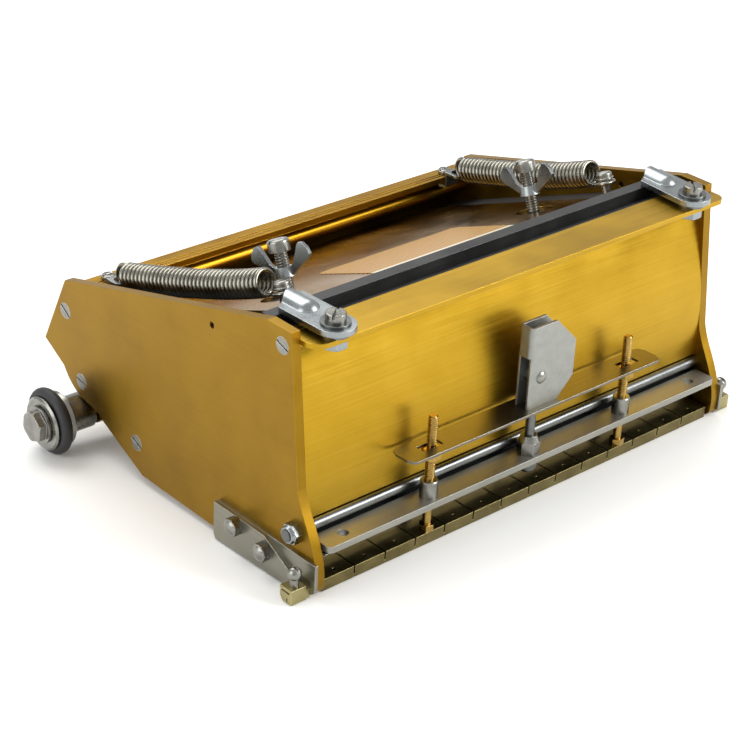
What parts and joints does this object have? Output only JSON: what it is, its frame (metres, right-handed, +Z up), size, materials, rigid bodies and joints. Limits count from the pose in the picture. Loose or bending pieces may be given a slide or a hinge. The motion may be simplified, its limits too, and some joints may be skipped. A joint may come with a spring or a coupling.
{
  "type": "drywall flat finishing box",
  "caption": "Flat finishing box for drywall compound: sprung pressure door, two latches, segmented brass shoe with a crown lever, skids and two wheels.",
  "frame": {"origin": "on the floor under the middle of the box, half way from the shoe to the back corner, as it stands on its wheels and shoe", "axes": "+X to the right seen from the shoe side, +Y from the shoe to the wheels, +Z up"},
  "size_m": [0.3196, 0.2086, 0.1269],
  "materials": {
    "gold_anodised": "brushed, gold anodised",
    "door_gold": "satin, gold anodised",
    "label_film": "printed film",
    "black_rubber": "matt",
    "black_steel": "satin black",
    "zinc_plate": "bright zinc",
    "bright_steel": "turned stainless",
    "spring_steel": "drawn stainless",
    "satin_aluminium": "satin",
    "skid_steel": "satin stainless",
    "dull_brass": "milled, dull",
    "screw_brass": "bright"
  },
  "bodies": {
    "frame_body": {"adjust_screws": "screw_brass", "adjuster_bar": "satin_aluminium", "axle": "bright_steel", "axle_brackets": "zinc_plate", "axle_sleeves": "bright_steel", "back_rail": "gold_anodised", "bar_bushes": "bright_steel", "blade": "spring_steel", "blade_holder": "black_steel", "brass_shoe": "dull_brass", "door_spring_left": "spring_steel", "door_spring_right": "spring_steel", "floor_panel": "gold_anodised", "front_plate": "gold_anodised", "hex_post": "bright_steel", "hinge_rod": "bright_steel", "latch_nuts": "bright_steel", "latch_screws": "bright_steel", "latch_washers": "zinc_plate", "leaf_nuts": "screw_brass", "lever_pin": "bright_steel", "lever_stud": "bright_steel", "plate_screws": "bright_steel", "rail_nuts": "bright_steel", "rail_screws": "bright_steel", "set_screws": "bright_steel", "side_plate_left": "gold_anodised", "side_plate_right": "gold_anodised", "skid_block_left": "dull_brass", "skid_block_right": "dull_brass", "skid_bolts": "bright_steel", "skid_plate_left": "skid_steel", "skid_plate_right": "skid_steel", "skid_screws": "bright_steel", "skid_strip_left": "skid_steel", "skid_strip_right": "skid_steel", "spring_lugs": "zinc_plate", "tie_rod": "bright_steel", "tie_rod_nuts": "bright_steel", "wheel_bolts": "bright_steel"},
    "door": {"door_gasket": "black_rubber", "door_backing": "zinc_plate", "door_plate": "door_gold", "door_label": "label_film", "door_front_bar": "black_steel", "door_screws": "bright_steel", "door_nuts": "bright_steel", "spring_posts": "bright_steel"},
    "wing_nut_l": {"wing_nut_left": "bright_steel"},
    "wing_nut_r": {"wing_nut_right": "bright_steel"},
    "latch_l": {"latch_left": "zinc_plate"},
    "latch_r": {"latch_right": "zinc_plate"},
    "wheel_l": {"wheel_hub_left": "bright_steel", "tyre_left": "black_rubber"},
    "wheel_r": {"wheel_hub_right": "bright_steel", "tyre_right": "black_rubber"},
    "lever": {"crown_lever": "satin_aluminium"},
    "leaf": {"leaf_spring": "spring_steel"}
  },
  "joints": [
    {"name": "door_hinge", "type": "hinge", "parent": "frame_body", "child": "door", "pos_m": [0, 0.08791, 0.05027], "axis": [1, 0, 0], "range_deg": [0, 22], "stiffness_Nm_per_rad": 4, "springref_deg": -28.65, "deforming": ["door_spring_left", "door_spring_right"]},
    {"name": "wing_nut_left_turn", "type": "hinge", "parent": "door", "child": "wing_nut_l", "pos_m": [-0.0788, -0.01188, 0.1087], "axis": [0, 0.3484, 0.9373], "continuous": true},
    {"name": "wing_nut_right_turn", "type": "hinge", "parent": "door", "child": "wing_nut_r", "pos_m": [0.0788, -0.01188, 0.1087], "axis": [0, 0.3484, 0.9373], "continuous": true},
    {"name": "latch_left_swing", "type": "hinge", "parent": "frame_body", "child": "latch_l", "pos_m": [-0.113, -0.08667, 0.11908], "axis": [0, -0.0282, 0.9996], "range_deg": [-95, 0]},
    {"name": "latch_right_swing", "type": "hinge", "parent": "frame_body", "child": "latch_r", "pos_m": [0.113, -0.08667, 0.11908], "axis": [0, -0.0282, 0.9996], "range_deg": [0, 95]},
    {"name": "wheel_left_spin", "type": "hinge", "parent": "frame_body", "child": "wheel_l", "pos_m": [-0.14806, 0.07885, 0.0168], "axis": [1, 0, 0], "continuous": true},
    {"name": "wheel_right_spin", "type": "hinge", "parent": "frame_body", "child": "wheel_r", "pos_m": [0.14806, 0.07885, 0.0168], "axis": [1, 0, 0], "continuous": true},
    {"name": "crown_lever_turn", "type": "hinge", "parent": "frame_body", "child": "lever", "pos_m": [0, -0.09693, 0.06527], "axis": [0, 0.9996, 0.0282], "range_deg": [0, 180]},
    {"name": "leaf_press", "type": "slide", "parent": "frame_body", "child": "leaf", "axis": [0, 0.0282, -0.9996], "range_m": [0, 0.0117], "deforming": ["leaf_spring"]}
  ],
  "couplings": [
    {"joint": "leaf_press", "follows": "crown_lever_turn", "m_per_rad": 0.003692}
  ]
}
